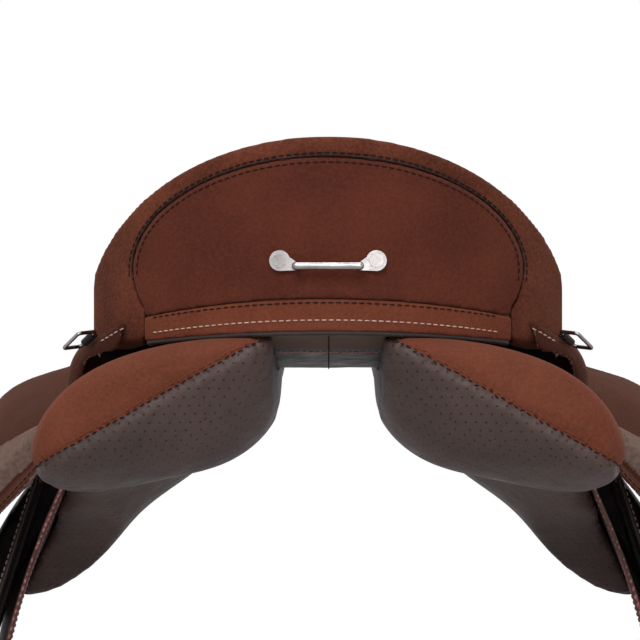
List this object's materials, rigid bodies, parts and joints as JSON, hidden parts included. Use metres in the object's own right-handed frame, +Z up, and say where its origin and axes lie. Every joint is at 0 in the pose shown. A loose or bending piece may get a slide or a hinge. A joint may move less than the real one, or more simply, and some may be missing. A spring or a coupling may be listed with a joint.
{
  "type": "endurance saddle",
  "caption": "Riding saddle with a high rounded cantle, wide rear panels, double flaps, a crupper bar and wire rings.",
  "frame": {"origin": "on the centre line at the rear, where the cantle meets the mouth of the gullet channel", "axes": "+X to the rider's right, +Y to the horse's head, +Z up"},
  "size_m": [0.7, 0.5074, 0.544],
  "materials": {
    "brown_suede": "napped suede with a soft sheen",
    "chrome": "polished plate",
    "dark_leather": "dark grained leather",
    "foam": "open-cell foam",
    "lining_cloth": "woven lining",
    "perforated_leather": "soft leather with small punched holes",
    "plywood": "laminated beech",
    "seat_leather": "smooth grained leather",
    "steel": "plain steel",
    "sweat_leather": "flat leather with a raw dusty pink edge",
    "tree_plastic": "moulded fibre-filled plastic",
    "webbing": "woven webbing"
  },
  "bodies": {
    "saddle": {"bar_rivets_left": "steel", "bar_rivets_right": "steel", "base_strip": "brown_suede", "cantle_back": "brown_suede", "cantle_board": "plywood", "cantle_rim": "brown_suede", "catch_pin_left": "steel", "catch_pin_right": "steel", "channel_lining": "lining_cloth", "crupper_bar": "chrome", "crupper_screws": "chrome", "flap_top_left": "brown_suede", "flap_top_right": "brown_suede", "front_chape_left": "dark_leather", "front_chape_right": "dark_leather", "girth_webbing_left": "webbing", "girth_webbing_right": "webbing", "gullet_plate": "steel", "gullet_rivets": "steel", "knee_block_left": "dark_leather", "knee_block_right": "dark_leather", "panel_face_left": "perforated_leather", "panel_face_right": "perforated_leather", "panel_gusset_left": "brown_suede", "panel_gusset_right": "brown_suede", "pommel_facing": "dark_leather", "rear_chape_left": "dark_leather", "rear_chape_right": "dark_leather", "seat_cover": "seat_leather", "seat_foam": "foam", "seat_webbing": "webbing", "skirt_left": "brown_suede", "skirt_right": "brown_suede", "stirrup_bar_left": "steel", "stirrup_bar_right": "steel", "sweat_flap_left": "sweat_leather", "sweat_flap_right": "sweat_leather", "tree": "tree_plastic"},
    "rear_dee_left": {"rear_dee_left": "chrome"},
    "front_dee_left": {"front_dee_left": "chrome"},
    "bar_catch_left": {"bar_catch_left": "steel"},
    "flap_left": {"flap_left": "brown_suede", "thigh_block_left": "brown_suede"},
    "girth_strap_rear_left": {"girth_strap_rear_left": "dark_leather"},
    "girth_strap_front_left": {"girth_strap_front_left": "dark_leather"},
    "rear_dee_right": {"rear_dee_right": "chrome"},
    "front_dee_right": {"front_dee_right": "chrome"},
    "bar_catch_right": {"bar_catch_right": "steel"},
    "flap_right": {"flap_right": "brown_suede", "thigh_block_right": "brown_suede"},
    "girth_strap_rear_right": {"girth_strap_rear_right": "dark_leather"},
    "girth_strap_front_right": {"girth_strap_front_right": "dark_leather"}
  },
  "joints": [
    {"name": "rear_dee_turn_right", "type": "hinge", "parent": "saddle", "child": "rear_dee_right", "pos_m": [0.183, 0.08, -0.0145], "axis": [-0.6104, -0.5754, 0.5444], "range_deg": [0, 90]},
    {"name": "rear_dee_turn_left", "type": "hinge", "parent": "saddle", "child": "rear_dee_left", "pos_m": [-0.183, 0.08, -0.0145], "axis": [-0.6104, 0.5754, -0.5444], "range_deg": [0, 90]},
    {"name": "front_dee_turn_right", "type": "hinge", "parent": "saddle", "child": "front_dee_right", "pos_m": [0.118, 0.412, 0.012], "axis": [0, -1, 0], "range_deg": [0, 120]},
    {"name": "front_dee_turn_left", "type": "hinge", "parent": "saddle", "child": "front_dee_left", "pos_m": [-0.118, 0.412, 0.012], "axis": [0, 1, 0], "range_deg": [0, 120]},
    {"name": "bar_catch_turn_right", "type": "hinge", "parent": "saddle", "child": "bar_catch_right", "pos_m": [0.1286, 0.31, -0.06], "axis": [1, 0, 0], "range_deg": [0, 80]},
    {"name": "bar_catch_turn_left", "type": "hinge", "parent": "saddle", "child": "bar_catch_left", "pos_m": [-0.1286, 0.31, -0.06], "axis": [1, 0, 0], "range_deg": [0, 80]},
    {"name": "flap_lift_right", "type": "hinge", "parent": "saddle", "child": "flap_right", "pos_m": [0.209, 0.17, -0.084], "axis": [-0.0547, -0.9843, -0.1677], "range_deg": [0, 70]},
    {"name": "flap_lift_left", "type": "hinge", "parent": "saddle", "child": "flap_left", "pos_m": [-0.209, 0.17, -0.084], "axis": [-0.0547, 0.9843, 0.1677], "range_deg": [0, 70]},
    {"name": "girth_strap_rear_swing_right", "type": "hinge", "parent": "saddle", "child": "girth_strap_rear_right", "pos_m": [0.2451, 0.268, -0.12751], "axis": [0.9508, 0, 0.3099], "range_deg": [-6, 6]},
    {"name": "girth_strap_rear_swing_left", "type": "hinge", "parent": "saddle", "child": "girth_strap_rear_left", "pos_m": [-0.2451, 0.268, -0.12751], "axis": [0.9508, 0, -0.3099], "range_deg": [-6, 6]},
    {"name": "girth_strap_front_swing_right", "type": "hinge", "parent": "saddle", "child": "girth_strap_front_right", "pos_m": [0.2451, 0.322, -0.12751], "axis": [0.9508, 0, 0.3099], "range_deg": [-6, 6]},
    {"name": "girth_strap_front_swing_left", "type": "hinge", "parent": "saddle", "child": "girth_strap_front_left", "pos_m": [-0.2451, 0.322, -0.12751], "axis": [0.9508, 0, -0.3099], "range_deg": [-6, 6]}
  ]
}
